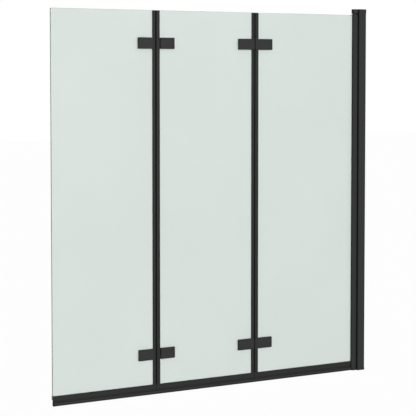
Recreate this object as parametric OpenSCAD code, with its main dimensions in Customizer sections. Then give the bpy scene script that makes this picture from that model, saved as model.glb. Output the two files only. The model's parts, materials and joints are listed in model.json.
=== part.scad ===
// Folding bath screen: three glass leaves that fold in a zigzag, hung on a profile along the wall.
// The wall is the plane x = 0 and the screen runs along -X. Its front faces -Y and +Z is up.
// The origin is on the wall, under the middle of the foot. All sizes are in millimetres.

/* [Screen] */
// Height from the foot's underside to the top of the cap
screen_h = 1382; // [1200:1:1600]
// Distance from the wall to the axis on which the screen swings
pivot_from_wall = 43; // [43:0.5:55]
// Width from the swing axis to the middle of the inner joint
inner_leaf_w = 446.2; // [440:0.2:520]
// Width from the middle of the inner joint to the middle of the outer joint
middle_leaf_w = 409.6; // [300:0.2:412]
// Width from the middle of the outer joint to the free edge
outer_leaf_w = 402; // [250:0.2:405]

/* [Panes] */
// Thickness of the glass
glass_t = 6; // [5:0.5:8]
// Height of the panes' lower edges above the foot's underside
glass_low_z = 21.5; // [20:0.5:24]
// Drop of the panes' upper edges below the top of the cap
glass_drop = 22.5; // [21.5:0.5:30]
// Radius of the panes' corners
glass_corner_r = 1.5; // [0.5:0.5:3]

/* [Edge seals] */
// Gap between the round tips of two facing edge seals
seal_tip_gap = 0.6; // [0.4:0.1:1.2]
// Wall of an edge seal beside the glass
seal_wall = 1.6; // [1.2:0.1:1.8]
// Wall of the hollow bulb at the tip
bulb_wall = 1.2; // [0.8:0.1:1.6]
// Web between the bulb and the edge of the glass
seal_web = 1.2; // [1:0.1:2]
// Depth of glass that an edge seal grips
seal_grip = 8.9; // [6:0.1:9.2]

/* [Bottom seals] */
// Height of the top of the clip on the glass
clip_top_z = 36.5; // [33:0.5:42]
// Wall of the clip beside the glass
clip_wall = 1.8; // [1.4:0.1:2.4]
// Base of the clip under the glass
clip_base = 3; // [2.4:0.1:3.4]
// Radius of the hollow drip lip
lip_r = 7.2; // [6:0.1:7.4]
// Wall of the drip lip
lip_wall = 1.4; // [1:0.1:2]
// Distance that the lip leans out to the front
lip_lean = 0.8; // [0:0.1:1.2]
// Thickness of the neck between the lip and the clip
neck_t = 4.4; // [3:0.1:5]
// Height of the clip's upper part that reaches the free edge
end_step_h = 14.5; // [6:0.5:14.5]
// Setback of the rest of the bottom seal at the free edge
end_step = 3; // [1:0.5:5]
// Thickness of the plug that closes the outer bottom seal at the free edge
end_plug_t = 2; // [1:0.5:4]

/* [Hinges] */
// Height of a hinge
hinge_h = 39.6; // [34:0.2:44]
// Reach of a hinge plate from the middle of the joint
hinge_reach = 72; // [64:0.5:76]
// Height of the lower hinges above the foot's underside
hinge_low_z = 145; // [100:0.5:250]
// Drop of the upper hinges below the top of the cap
hinge_drop = 137.5; // [100:0.5:250]
// Thickness of a hinge plate
plate_t = 6; // [5:0.5:7]
// Bevel along the edges of a hinge plate
plate_bevel = 0.8; // [0.4:0.1:1.2]
// Radius of a hinge plate's corners
plate_corner_r = 2; // [1.5:0.5:4]
// Thickness of the rubber between a plate and the glass
pad_t = 1; // [0.8:0.1:1.5]
// Margin of the rubber inside its plate
pad_margin = 0.6; // [0.4:0.1:1.5]
// Radius of the hinge knuckles
knuckle_r = 4; // [3.6:0.1:4.4]
// Height of the middle knuckle
middle_knuckle_h = 12.4; // [10:0.2:14]
// Radius of a hinge pin
pin_r = 1.75; // [1.5:0.05:2]
// Thickness of the washers between the knuckles
washer_t = 0.6; // [0.4:0.1:1]
// Gap between two hinge plates that are folded flat on each other
fold_gap = 0.6; // [0.4:0.1:1]

/* [Hinge screws] */
// Distance from the joint to the first screw of a plate
screw_near = 28; // [26:0.5:34]
// Distance between the two screws of a plate
screw_pitch = 30; // [20:0.5:32]
// Radius of a hinge screw's thread
screw_r = 2.5; // [2:0.1:3]
// Radius of a hinge screw's head
screw_head_r = 4.6; // [4.2:0.1:5.2]
// Width of the socket across its corners
screw_socket_w = 3.4; // [3:0.1:3.8]
// Depth of the socket
screw_socket_depth = 1.8; // [1.2:0.1:2]
// Radius of the holes in the glass
glass_hole_r = 5; // [4.5:0.1:6]

/* [Wall profile] */
// Width of the outer wall profile, from the wall
wall_profile_w = 31.8; // [29:0.2:31.8]
// Depth of the outer wall profile
wall_profile_d = 36; // [32:0.5:40]
// Wall of both wall profiles
profile_wall = 2; // [1.6:0.1:2.2]
// Setback of the outer profile's edges from the wall
wall_setback = 0.5; // [0.2:0.1:1.5]
// Width of the inner channel, which is screwed to the wall
wall_channel_w = 25; // [24:0.5:25.5]
// Radius of the holes for the wall screws
wall_hole_r = 2.75; // [2:0.05:3.5]
// Distance from the foot and from the cap to the end wall screws
wall_hole_inset = 120; // [60:5:200]
// Distance from the wall to the lock screws
lock_from_wall = 18; // [15:0.5:19]
// Height of the lower lock screw above the foot's underside
lock_low_z = 226.5; // [150:0.5:300]
// Drop of the upper lock screw below the top of the cap
lock_drop = 203.5; // [150:0.5:300]
// Radius of a lock screw's thread
lock_r = 1.9; // [1.6:0.1:2.2]
// Radius of a lock screw's head
lock_head_r = 3.4; // [3:0.1:4]
// Height of a lock screw's head
lock_head_h = 1.4; // [1:0.1:2]

/* [Pivot] */
// Radius of the round nose that turns beside the wall profile
nose_r = 10; // [9:0.25:10]
// Radius of the corner that keeps the nose from turning to the front
stop_corner_r = 1; // [0.6:0.1:2]
// Distance from the swing axis to the mouth that holds the glass
mouth_reach = 11.6; // [11.4:0.2:16]
// Wall between the bush and the end of the glass slot
slot_web = 1.2; // [1:0.1:1.4]
// Thickness of the glazing gasket beside the glass
gasket_t = 1.4; // [1:0.1:2]
// Outer radius of a bush
bush_r = 4; // [3.6:0.1:4.2]
// Radius of a bush's collar
collar_r = 7.4; // [6:0.1:9.4]
// Radius of a pivot pin
pivot_pin_r = 2.5; // [2:0.1:2.8]
// Length of a pivot pin inside its bush
pivot_pin_depth = 24; // [16:1:34]
// Drop of the pivot profile's top below the cap's underside
pivot_drop = 4.6; // [1:0.1:4.8]
// Rise of the pivot profile's underside above the foot
pivot_rise = 1.2; // [1:0.1:4]

/* [Cap and foot] */
// Height of the cap
cap_h = 16; // [12:1:16]
// Height of the foot
foot_h = 8; // [6:0.5:9]
// Margin by which the cap and the foot stand out over the outer wall profile
cap_margin = 0.4; // [0.2:0.1:1]
// Radius of the screw ports inside the outer wall profile
port_r = 3.6; // [3.2:0.1:4]
// Distance of the screw ports from the middle of the profile
port_y = 7.6; // [6.5:0.1:8]
// Radius of a cap screw's thread
cap_screw_r = 1.8; // [1.5:0.1:2]
// Length of a cap screw inside its port
cap_screw_depth = 16; // [10:1:24]
// Radius of a cap screw's head
cap_screw_head_r = 3.2; // [2.8:0.1:3.6]
// Height of a cap screw's head, sunk in the cap
cap_screw_head_h = 2; // [1.5:0.1:2.5]

/* [Fits] */
// Radial clearance of a pin that turns in its bore
pin_fit = 0.05; // [0.02:0.01:0.1]
// Radial clearance of a screw or a bush that doesn't turn
screw_fit = 0.05; // [0.03:0.01:0.15]
// Clearance between pieces that slide or pass each other
slide_fit = 0.3; // [0.2:0.05:0.5]

/* [Hidden] */
$fn = 64;
// Overlap that makes a cut clean
cut = 1;

// Places along the screen
pivot_x = -pivot_from_wall;
inner_joint_x = pivot_x - inner_leaf_w;
outer_joint_x = inner_joint_x - middle_leaf_w;
free_edge_x = outer_joint_x - outer_leaf_w;
mouth_x = pivot_x - mouth_reach;

// Heights
glass_top_z = screen_h - glass_drop;
cap_z = screen_h - cap_h;
hinge_high_z = screen_h - hinge_drop;
hinge_heights = [hinge_low_z, hinge_high_z];
clip_low_z = glass_low_z - clip_base;
pivot_low_z = foot_h + pivot_rise;
pivot_top_z = cap_z - pivot_drop;
lock_heights = [lock_low_z, screen_h - lock_drop];
wall_hole_low_z = foot_h + wall_hole_inset;
wall_hole_high_z = cap_z - wall_hole_inset;
wall_hole_heights = [wall_hole_low_z, (wall_hole_low_z + wall_hole_high_z) / 2, wall_hole_high_z];

// Edge seals: the distances are from the middle of the joint
seal_half = glass_t / 2 + seal_wall;
seal_centre = seal_tip_gap / 2 + seal_half;
glass_edge = seal_centre + seal_web;
seal_reach = glass_edge + seal_grip;

// Hinges: heights are from the middle of the hinge, depths from the middle of the glass
plate_in = glass_t / 2 + pad_t;
plate_out = plate_in + plate_t;
axis_depth = plate_out + fold_gap / 2;
plate_start = seal_reach + slide_fit;
knuckle_clear = knuckle_r + 0.6;
middle_knuckle_top = middle_knuckle_h / 2;
washer_play = 0.1;
outer_knuckle_low = middle_knuckle_top + washer_t + 2 * washer_play;
pin_inset = 0.3;
screw_places = [screw_near, screw_near + screw_pitch];
screw_head_h = screw_head_r - screw_r;
screw_tip = plate_in + plate_t * 0.6;
screw_hole_end = plate_out - plate_t * 0.25;
sleeve_r = glass_hole_r - 0.1;

// Wall profiles
profile_half = wall_profile_d / 2;
channel_half = profile_half - profile_wall - slide_fit;
port_x = -(wall_profile_w - profile_wall - port_r + 1);
lock_tip = 3;
nose_gap = pivot_from_wall - nose_r - wall_profile_w;
fin_t = 1.2;
fin_base_w = 6;
fin_base_t = 0.4;

// Pivot profile
slot_end = bush_r + slot_web;
glass_end = slot_end + slide_fit;
slot_half = glass_t / 2 + gasket_t;
hollow_out_r = nose_r - 1.6;
hollow_in_r = bush_r + 1.6;
collar_gap = 0.3;
gasket_lip = 0.4;

// ---- Helpers ----

// A flat shape drawn in plan, raised from z0 to z1
module upright(z0, z1) {
    translate([0, 0, z0]) linear_extrude(z1 - z0) children();
}

// A section drawn in Y and Z, carried along X from x0 to x1
module along(x0, x1) {
    translate([x0, 0, 0]) rotate([90, 0, 90]) linear_extrude(x1 - x0) children();
}

// A face drawn in X and Z, given a thickness from y0 to y1
module facing(y0, y1) {
    translate([0, y1, 0]) rotate([90, 0, 0]) linear_extrude(y1 - y0) children();
}

// A rod along Y from y0 to y1
module rod_y(r, y0, y1) {
    translate([0, y1, 0]) rotate([90, 0, 0]) cylinder(r = r, h = y1 - y0);
}

// A rectangle from its low corner to its high corner
module box_2d(low, high) {
    translate(low) square([high[0] - low[0], high[1] - low[1]]);
}

// A rectangle with round corners
module round_box_2d(low, high, r) {
    box_2d([low[0] + r, low[1]], [high[0] - r, high[1]]);
    box_2d([low[0], low[1] + r], [high[0], high[1] - r]);
    for (x = [low[0] + r, high[0] - r]) {
        for (y = [low[1] + r, high[1] - r]) {
            translate([x, y]) circle(r);
        }
    }
}

// A rectangle whose two corners at the high Y are bevelled
module bevelled_2d(low, high, bevel) {
    polygon([
        low, [high[0], low[1]], [high[0], high[1] - bevel], [high[0] - bevel, high[1]],
        [low[0] + bevel, high[1]], [low[0], high[1] - bevel]
    ]);
}

// The joints: each stands at its own place, and its knuckles are on its own side of the glass
module at_inner_joint() {
    translate([inner_joint_x, 0, 0]) children();
}

module at_outer_joint() {
    translate([outer_joint_x, 0, 0]) mirror([0, 1, 0]) children();
}

// The two sides of a joint: towards the wall as drawn, away from the wall mirrored
module wall_side() {
    children();
}

module free_side() {
    mirror([1, 0, 0]) children();
}

module at_height(z) {
    translate([0, 0, z]) children();
}

// ---- Panes ----

module hinge_holes(joint_x, side) {
    for (z = hinge_heights) {
        for (u = screw_places) {
            translate([joint_x + side * u, 0, z]) rod_y(glass_hole_r, -glass_t / 2 - cut, glass_t / 2 + cut);
        }
    }
}

module pane(x0, x1) {
    facing(-glass_t / 2, glass_t / 2) round_box_2d([x0, glass_low_z], [x1, glass_top_z], glass_corner_r);
}

module inner_glass() {
    color("lightcyan", 0.6) difference() {
        pane(inner_joint_x + glass_edge, pivot_x - glass_end);
        hinge_holes(inner_joint_x, 1);
    }
}

module middle_glass() {
    color("lightcyan", 0.6) difference() {
        pane(outer_joint_x + glass_edge, inner_joint_x - glass_edge);
        hinge_holes(inner_joint_x, -1);
        hinge_holes(outer_joint_x, 1);
    }
}

module outer_glass() {
    color("lightcyan", 0.6) difference() {
        pane(free_edge_x, outer_joint_x - glass_edge);
        hinge_holes(outer_joint_x, -1);
    }
}

// ---- Edge seals ----

// The section of an edge seal on the wall side of a joint: a hollow round tip and a clip on the glass
module edge_seal_2d() {
    difference() {
        union() {
            translate([seal_centre, 0]) circle(seal_half);
            box_2d([seal_centre, -seal_half], [seal_reach, seal_half]);
        }
        intersection() {
            translate([seal_centre, 0]) circle(seal_half - bulb_wall);
            box_2d([0, -seal_half], [seal_centre, seal_half]);
        }
        box_2d([glass_edge, -glass_t / 2], [seal_reach + cut, glass_t / 2]);
    }
}

module edge_seal() {
    color("dimgray") upright(clip_top_z, glass_top_z) edge_seal_2d();
}

module inner_edge_seal() {
    at_inner_joint() wall_side() edge_seal();
}

module middle_edge_seal_inner() {
    at_inner_joint() free_side() edge_seal();
}

module middle_edge_seal_outer() {
    at_outer_joint() wall_side() edge_seal();
}

module outer_edge_seal() {
    at_outer_joint() free_side() edge_seal();
}

// ---- Bottom seals ----

// The clip on the lower edge of the glass
module clip_2d() {
    difference() {
        box_2d([-glass_t / 2 - clip_wall, clip_low_z], [glass_t / 2 + clip_wall, clip_top_z]);
        box_2d([-glass_t / 2, glass_low_z], [glass_t / 2, clip_top_z + cut]);
    }
}

// The hollow drip lip and the neck from which it hangs
module lip_2d() {
    difference() {
        union() {
            translate([-lip_lean, lip_r]) circle(lip_r);
            box_2d([-lip_lean - neck_t / 2, lip_r], [-lip_lean + neck_t / 2, clip_low_z + clip_base / 2]);
        }
        translate([-lip_lean, lip_r]) circle(lip_r - lip_wall);
    }
}

module bottom_seal(x0, x1) {
    color("dimgray") along(x0, x1) {
        clip_2d();
        lip_2d();
    }
}

module inner_bottom_seal() {
    bottom_seal(inner_joint_x + seal_tip_gap / 2, mouth_x - slide_fit);
}

module middle_bottom_seal() {
    bottom_seal(outer_joint_x + seal_tip_gap / 2, inner_joint_x - seal_tip_gap / 2);
}

// The outline of the plug: it fills the lip and both sides of the neck
module end_plug_2d() {
    clip_half = glass_t / 2 + clip_wall;
    plug_top = clip_low_z + clip_base / 2;
    translate([-lip_lean, lip_r]) circle(lip_r);
    polygon([
        [-clip_half, plug_top], [-lip_lean - lip_r, lip_r], [lip_r - lip_lean, lip_r], [clip_half, plug_top]
    ]);
}

// The outer leaf's bottom seal is cut back at the free edge, below its clip on the glass, and closed by a plug
module outer_bottom_seal() {
    step_z = clip_top_z - end_step_h;
    difference() {
        bottom_seal(free_edge_x, outer_joint_x - seal_tip_gap / 2);
        along(free_edge_x - cut, free_edge_x + end_step) {
            box_2d([-plate_out, -cut], [plate_out, step_z]);
        }
    }
    color("dimgray") along(free_edge_x + end_step, free_edge_x + end_step + end_plug_t) end_plug_2d();
}

// ---- Hinges, drawn on the wall side of a joint with the knuckles at the front ----

// A plate from u0 to the reach, flat on its rubber and bevelled outside
module plate_blank(u0) {
    intersection() {
        facing(-plate_out, -plate_in) {
            round_box_2d([u0, -hinge_h / 2], [hinge_reach, hinge_h / 2], plate_corner_r);
        }
        upright(-hinge_h / 2, hinge_h / 2) mirror([0, 1]) {
            bevelled_2d([u0, plate_in], [hinge_reach, plate_out], plate_bevel);
        }
        along(u0, hinge_reach) rotate(90) bevelled_2d([-hinge_h / 2, plate_in], [hinge_h / 2, plate_out], plate_bevel);
    }
}

// Threaded holes that a screw from the far side of the glass enters
module blind_screw_holes() {
    for (u = screw_places) {
        translate([u, 0, 0]) rod_y(screw_r + screw_fit, -screw_hole_end, -plate_in + cut);
    }
}

// Countersunk holes for the screws' heads
module head_holes() {
    head_r = screw_head_r + screw_fit;
    for (u = screw_places) {
        translate([u, 0, 0]) {
            rod_y(screw_r + screw_fit, -plate_out - cut, -plate_in + cut);
            translate([0, -plate_out, 0]) rotate([-90, 0, 0]) {
                cylinder(r1 = head_r, r2 = screw_r + screw_fit, h = head_r - screw_r - screw_fit);
            }
        }
    }
}

// Knuckles between two heights, with the bridge that joins them to their plate
module knuckle(low, high) {
    upright(low, high) {
        translate([0, -axis_depth]) circle(knuckle_r);
        box_2d([0, -plate_out], [knuckle_clear + cut, -axis_depth + knuckle_r]);
    }
}

// A plate that carries knuckles and steps over the edge seal
module knuckle_plate() {
    difference() {
        union() {
            plate_blank(knuckle_clear);
            children();
        }
        upright(-hinge_h, hinge_h) {
            box_2d([-knuckle_r, -seal_half - slide_fit], [plate_start, 0]);
            translate([0, -axis_depth]) circle(pin_r + pin_fit);
        }
    }
}

module outer_knuckles() {
    knuckle(-hinge_h / 2, -outer_knuckle_low);
    knuckle(outer_knuckle_low, hinge_h / 2);
}

module middle_knuckle() {
    knuckle(-middle_knuckle_top, middle_knuckle_top);
}

module hinge_pin() {
    color("silver") translate([0, -axis_depth, pin_inset - hinge_h / 2]) {
        cylinder(r = pin_r, h = hinge_h - 2 * pin_inset);
    }
}

module hinge_washers() {
    color("dimgray") for (z = [-outer_knuckle_low + washer_play, middle_knuckle_top + washer_play]) {
        upright(z, z + washer_t) translate([0, -axis_depth]) difference() {
            circle(knuckle_r - pad_margin / 2);
            circle(pin_r + pin_fit);
        }
    }
}

// A plate on the side of the glass that has no knuckles
module clamp_plate() {
    mirror([0, 1, 0]) plate_blank(plate_start);
}

// The rubber pads on both faces of the glass
module pads() {
    color("black") for (side = [0, 1]) {
        mirror([0, side, 0]) facing(-plate_in, -glass_t / 2) difference() {
            box_2d(
                [plate_start + pad_margin, pad_margin - hinge_h / 2],
                [hinge_reach - pad_margin, hinge_h / 2 - pad_margin]
            );
            for (u = screw_places) {
                translate([u, 0]) circle(glass_hole_r);
            }
        }
    }
}

// The plastic sleeves that keep the screws off the glass
module sleeves() {
    color("white") for (u = screw_places) {
        translate([u, 0, 0]) difference() {
            rod_y(sleeve_r, -glass_t / 2, glass_t / 2);
            rod_y(screw_r + screw_fit, -plate_in, plate_in);
        }
    }
}

// The screws, with their heads at the side that the argument names: -1 is the knuckles' side
module screws(head_side) {
    color("dimgray") mirror([0, head_side > 0 ? 1 : 0, 0]) for (u = screw_places) {
        translate([u, 0, 0]) difference() {
            union() {
                rod_y(screw_r, -plate_out + screw_head_h / 2, screw_tip);
                translate([0, -plate_out, 0]) rotate([-90, 0, 0]) {
                    cylinder(r1 = screw_head_r, r2 = screw_r, h = screw_head_h);
                }
            }
            translate([0, screw_socket_depth - plate_out, 0]) rotate([90, 0, 0]) {
                cylinder(r = screw_socket_w / 2, h = screw_socket_depth + cut, $fn = 6);
            }
        }
    }
}

// Front knuckles: the screws come through the clamp plates behind. Rear knuckles: through the knuckle plates.
module pin_plate_front() {
    color("dimgray") difference() {
        knuckle_plate() outer_knuckles();
        blind_screw_holes();
    }
}

module swing_plate_front() {
    color("dimgray") difference() {
        knuckle_plate() middle_knuckle();
        blind_screw_holes();
    }
}

module pin_plate_rear() {
    color("dimgray") difference() {
        knuckle_plate() outer_knuckles();
        head_holes();
    }
}

module swing_plate_rear() {
    color("dimgray") difference() {
        knuckle_plate() middle_knuckle();
        head_holes();
    }
}

module clamp_plate_with_heads() {
    color("dimgray") difference() {
        clamp_plate();
        mirror([0, 1, 0]) head_holes();
    }
}

module clamp_plate_blind() {
    color("dimgray") difference() {
        clamp_plate();
        mirror([0, 1, 0]) blind_screw_holes();
    }
}

// Both hinges of a joint
module each_hinge() {
    for (z = hinge_heights) {
        at_height(z) children();
    }
}

module inner_joint_upper_pin_plate() {
    at_inner_joint() wall_side() at_height(hinge_high_z) pin_plate_front();
}

module inner_joint_lower_pin_plate() {
    at_inner_joint() wall_side() at_height(hinge_low_z) pin_plate_front();
}

module inner_joint_upper_swing_plate() {
    at_inner_joint() free_side() at_height(hinge_high_z) swing_plate_front();
}

module inner_joint_lower_swing_plate() {
    at_inner_joint() free_side() at_height(hinge_low_z) swing_plate_front();
}

module outer_joint_upper_pin_plate() {
    at_outer_joint() wall_side() at_height(hinge_high_z) pin_plate_rear();
}

module outer_joint_lower_pin_plate() {
    at_outer_joint() wall_side() at_height(hinge_low_z) pin_plate_rear();
}

module outer_joint_upper_swing_plate() {
    at_outer_joint() free_side() at_height(hinge_high_z) swing_plate_rear();
}

module outer_joint_lower_swing_plate() {
    at_outer_joint() free_side() at_height(hinge_low_z) swing_plate_rear();
}

module inner_joint_pins() {
    at_inner_joint() each_hinge() hinge_pin();
}

module outer_joint_pins() {
    at_outer_joint() each_hinge() hinge_pin();
}

module inner_joint_washers() {
    at_inner_joint() each_hinge() hinge_washers();
}

module outer_joint_washers() {
    at_outer_joint() each_hinge() hinge_washers();
}

module inner_leaf_clamp_plates() {
    at_inner_joint() wall_side() each_hinge() clamp_plate_with_heads();
}

module middle_leaf_clamp_plates_inner() {
    at_inner_joint() free_side() each_hinge() clamp_plate_with_heads();
}

module middle_leaf_clamp_plates_outer() {
    at_outer_joint() wall_side() each_hinge() clamp_plate_blind();
}

module outer_leaf_clamp_plates() {
    at_outer_joint() free_side() each_hinge() clamp_plate_blind();
}

module inner_leaf_pads() {
    at_inner_joint() wall_side() each_hinge() pads();
}

module middle_leaf_pads() {
    at_inner_joint() free_side() each_hinge() pads();
    at_outer_joint() wall_side() each_hinge() pads();
}

module outer_leaf_pads() {
    at_outer_joint() free_side() each_hinge() pads();
}

module inner_leaf_sleeves() {
    at_inner_joint() wall_side() each_hinge() sleeves();
}

module middle_leaf_sleeves() {
    at_inner_joint() free_side() each_hinge() sleeves();
    at_outer_joint() wall_side() each_hinge() sleeves();
}

module outer_leaf_sleeves() {
    at_outer_joint() free_side() each_hinge() sleeves();
}

module inner_leaf_screws() {
    at_inner_joint() wall_side() each_hinge() screws(1);
}

module middle_leaf_screws() {
    at_inner_joint() free_side() each_hinge() screws(1);
    at_outer_joint() wall_side() each_hinge() screws(-1);
}

module outer_leaf_screws() {
    at_outer_joint() free_side() each_hinge() screws(-1);
}

// ---- Wall profiles ----

// A screw hole through the front wall of a profile
module lock_holes(r) {
    for (z = lock_heights) {
        translate([-lock_from_wall, 0, z]) rod_y(r, -profile_half - cut, -channel_half + profile_wall + cut);
    }
}

// The visible profile: a channel over the one on the wall, with two screw ports behind its front web
module outer_wall_profile() {
    color("dimgray") difference() {
        upright(foot_h, cap_z) difference() {
            union() {
                difference() {
                    box_2d([-wall_profile_w, -profile_half], [-wall_setback, profile_half]);
                    box_2d(
                        [profile_wall - wall_profile_w, profile_wall - profile_half],
                        [cut, profile_half - profile_wall]
                    );
                }
                for (y = [-port_y, port_y]) {
                    translate([port_x, y]) circle(port_r);
                }
            }
            for (y = [-port_y, port_y]) {
                translate([port_x, y]) circle(cap_screw_r + screw_fit);
            }
        }
        lock_holes(lock_r + slide_fit);
    }
}

// The hidden channel, screwed to the wall through its web
module wall_channel() {
    color("silver") difference() {
        upright(foot_h + slide_fit, cap_z - slide_fit) difference() {
            box_2d([-wall_channel_w, -channel_half], [0, channel_half]);
            box_2d(
                [-wall_channel_w - cut, profile_wall - channel_half],
                [-profile_wall, channel_half - profile_wall]
            );
        }
        for (z = wall_hole_heights) {
            translate([-profile_wall - cut, 0, z]) rotate([0, 90, 0]) {
                cylinder(r = wall_hole_r, h = profile_wall + 2 * cut);
            }
        }
        lock_holes(lock_r + screw_fit);
    }
}

// The screws that lock the two wall profiles together
module lock_screws() {
    color("black") for (z = lock_heights) {
        translate([-lock_from_wall, 0, z]) difference() {
            union() {
                rod_y(lock_r, -profile_half - cut / 2, -channel_half + lock_tip);
                rod_y(lock_head_r, -profile_half - lock_head_h, -profile_half);
            }
            rod_y(lock_r / 2, -profile_half - lock_head_h - cut, -profile_half - lock_head_h / 3, $fn = 6);
        }
    }
}

// The soft fin that closes the gap beside the nose
module nose_seal() {
    color("black") upright(foot_h, cap_z) {
        box_2d([-wall_profile_w - fin_base_t, -fin_base_w / 2], [-wall_profile_w, fin_base_w / 2]);
        box_2d([slide_fit - wall_profile_w - nose_gap, -fin_t / 2], [-wall_profile_w, fin_t / 2]);
    }
}

// ---- Pivot profile ----

// The profile that swings. Its nose is round behind, where it turns past the wall profile, and square in front.
module pivot_profile() {
    color("dimgray") upright(pivot_low_z, pivot_top_z) translate([pivot_x, 0]) difference() {
        union() {
            circle(nose_r);
            box_2d([-mouth_reach, -nose_r], [0, nose_r]);
            box_2d([-1, -nose_r], [nose_r - stop_corner_r, 0]);
            box_2d([-1, stop_corner_r - nose_r], [nose_r, 0]);
            translate([nose_r - stop_corner_r, stop_corner_r - nose_r]) circle(stop_corner_r);
        }
        circle(bush_r);
        box_2d([-mouth_reach - cut, -slot_half], [-slot_end, slot_half]);
        intersection() {
            difference() {
                circle(hollow_out_r);
                circle(hollow_in_r);
            }
            box_2d([0, -nose_r], [nose_r, nose_r]);
        }
    }
}

// The rubber strips on both faces of the glass, with a small lip over the mouth
module glazing_gasket() {
    color("black") upright(clip_top_z, glass_top_z) translate([pivot_x, 0]) for (side = [0, 1]) {
        mirror([0, side]) {
            box_2d([-mouth_reach, glass_t / 2], [-slot_end, slot_half]);
            box_2d([-mouth_reach - gasket_lip, glass_t / 2], [-mouth_reach, slot_half + gasket_lip]);
        }
    }
}

// A bush drawn upright from its collar: the sleeve goes down into the profile
module pivot_bush(collar_h) {
    color("dimgray") translate([pivot_x, 0, 0]) difference() {
        union() {
            cylinder(r = collar_r, h = collar_h);
            translate([0, 0, -pivot_pin_depth]) cylinder(r = bush_r - screw_fit, h = pivot_pin_depth + collar_h / 2);
        }
        translate([0, 0, -pivot_pin_depth - cut]) {
            cylinder(r = pivot_pin_r + pin_fit, h = pivot_pin_depth + collar_h + 2 * cut);
        }
    }
}

module upper_pivot_bush() {
    translate([0, 0, pivot_top_z]) pivot_bush(pivot_drop - collar_gap);
}

module lower_pivot_bush() {
    translate([0, 0, pivot_low_z]) mirror([0, 0, 1]) pivot_bush(pivot_rise - collar_gap);
}

// The pins stand in the cap and the foot, two thirds of the way through
module upper_pivot_pin() {
    low = pivot_top_z - pivot_pin_depth + cut;
    color("silver") translate([pivot_x, 0, low]) cylinder(r = pivot_pin_r, h = cap_z + cap_h * 2 / 3 - low);
}

module lower_pivot_pin() {
    low = foot_h / 3;
    high = pivot_low_z + pivot_pin_depth - cut;
    color("silver") translate([pivot_x, 0, low]) cylinder(r = pivot_pin_r, h = high - low);
}

// ---- Cap and foot ----

// The plan of the cap and the foot: a block over the wall profile and a round tongue over the nose
module end_2d() {
    box_2d(
        [-wall_profile_w - cap_margin, -profile_half - cap_margin],
        [0, profile_half + cap_margin]
    );
    box_2d([pivot_x, -nose_r], [-wall_profile_w, nose_r]);
    translate([pivot_x, 0]) circle(nose_r);
}

// An end block drawn as the foot: its screws come from below, and the pin's hole is open above
module end_block(h) {
    difference() {
        upright(0, h) end_2d();
        for (y = [-port_y, port_y]) {
            translate([port_x, y, 0]) {
                translate([0, 0, -cut]) cylinder(r = cap_screw_r + screw_fit, h = h + 2 * cut);
                translate([0, 0, -cut]) cylinder(r = cap_screw_head_r + slide_fit, h = cut + cap_screw_head_h);
            }
        }
        translate([pivot_x, 0, h / 3]) cylinder(r = pivot_pin_r + screw_fit, h = h);
    }
}

module foot() {
    color("dimgray") end_block(foot_h);
}

module top_cap() {
    color("dimgray") translate([0, 0, screen_h]) mirror([0, 0, 1]) end_block(cap_h);
}

// A cap screw drawn upwards from the flat of its head, for an end block of height h
module cap_screw(h) {
    difference() {
        union() {
            cylinder(r = cap_screw_head_r, h = cap_screw_head_h);
            cylinder(r = cap_screw_r, h = h + cap_screw_depth);
        }
        translate([0, 0, -cut]) cylinder(r = cap_screw_r * 0.7, h = cut + cap_screw_head_h / 2, $fn = 6);
    }
}

module cap_screws() {
    color("black") for (y = [-port_y, port_y]) {
        translate([port_x, y, 0]) cap_screw(foot_h);
        translate([port_x, y, screen_h]) mirror([0, 0, 1]) cap_screw(cap_h);
    }
}

outer_wall_profile();
wall_channel();
lock_screws();
nose_seal();
top_cap();
foot();
cap_screws();
upper_pivot_pin();
lower_pivot_pin();
pivot_profile();
upper_pivot_bush();
lower_pivot_bush();
glazing_gasket();
inner_glass();
middle_glass();
outer_glass();
inner_edge_seal();
middle_edge_seal_inner();
middle_edge_seal_outer();
outer_edge_seal();
inner_bottom_seal();
middle_bottom_seal();
outer_bottom_seal();
inner_joint_upper_pin_plate();
inner_joint_lower_pin_plate();
inner_joint_upper_swing_plate();
inner_joint_lower_swing_plate();
outer_joint_upper_pin_plate();
outer_joint_lower_pin_plate();
outer_joint_upper_swing_plate();
outer_joint_lower_swing_plate();
inner_joint_pins();
outer_joint_pins();
inner_joint_washers();
outer_joint_washers();
inner_leaf_clamp_plates();
middle_leaf_clamp_plates_inner();
middle_leaf_clamp_plates_outer();
outer_leaf_clamp_plates();
inner_leaf_pads();
middle_leaf_pads();
outer_leaf_pads();
inner_leaf_sleeves();
middle_leaf_sleeves();
outer_leaf_sleeves();
inner_leaf_screws();
middle_leaf_screws();
outer_leaf_screws();
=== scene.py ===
"""The looks of a folding bath screen: three satin glass leaves in black trim, on a pivot by a wall profile.

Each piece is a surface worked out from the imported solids' own places and sizes, in metres.
"""

import json
import math

import bpy
import numpy as np
from bpy.props import FloatProperty, FloatVectorProperty, PointerProperty
from bpy.types import Operator, Panel, PropertyGroup
from mathutils.geometry import tessellate_polygon
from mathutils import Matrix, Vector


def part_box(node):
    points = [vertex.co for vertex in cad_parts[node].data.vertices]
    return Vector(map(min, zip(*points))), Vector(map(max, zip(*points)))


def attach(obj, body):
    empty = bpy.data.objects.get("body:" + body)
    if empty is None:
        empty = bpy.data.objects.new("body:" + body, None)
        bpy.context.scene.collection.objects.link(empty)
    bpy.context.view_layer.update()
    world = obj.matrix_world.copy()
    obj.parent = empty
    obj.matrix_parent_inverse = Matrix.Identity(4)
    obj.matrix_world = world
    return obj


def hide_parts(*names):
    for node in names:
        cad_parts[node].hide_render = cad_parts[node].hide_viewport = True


bl_info = {
    "name": "Folding Bath Screen",
    "version": (1, 0, 0),
    "blender": (4, 5, 0),
    "location": "3D View > Sidebar > Bath Screen",
    "description": "Dresses the solids of a folding bath screen in detailed surfaces and finishes",
    "category": "Object",
}

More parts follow.
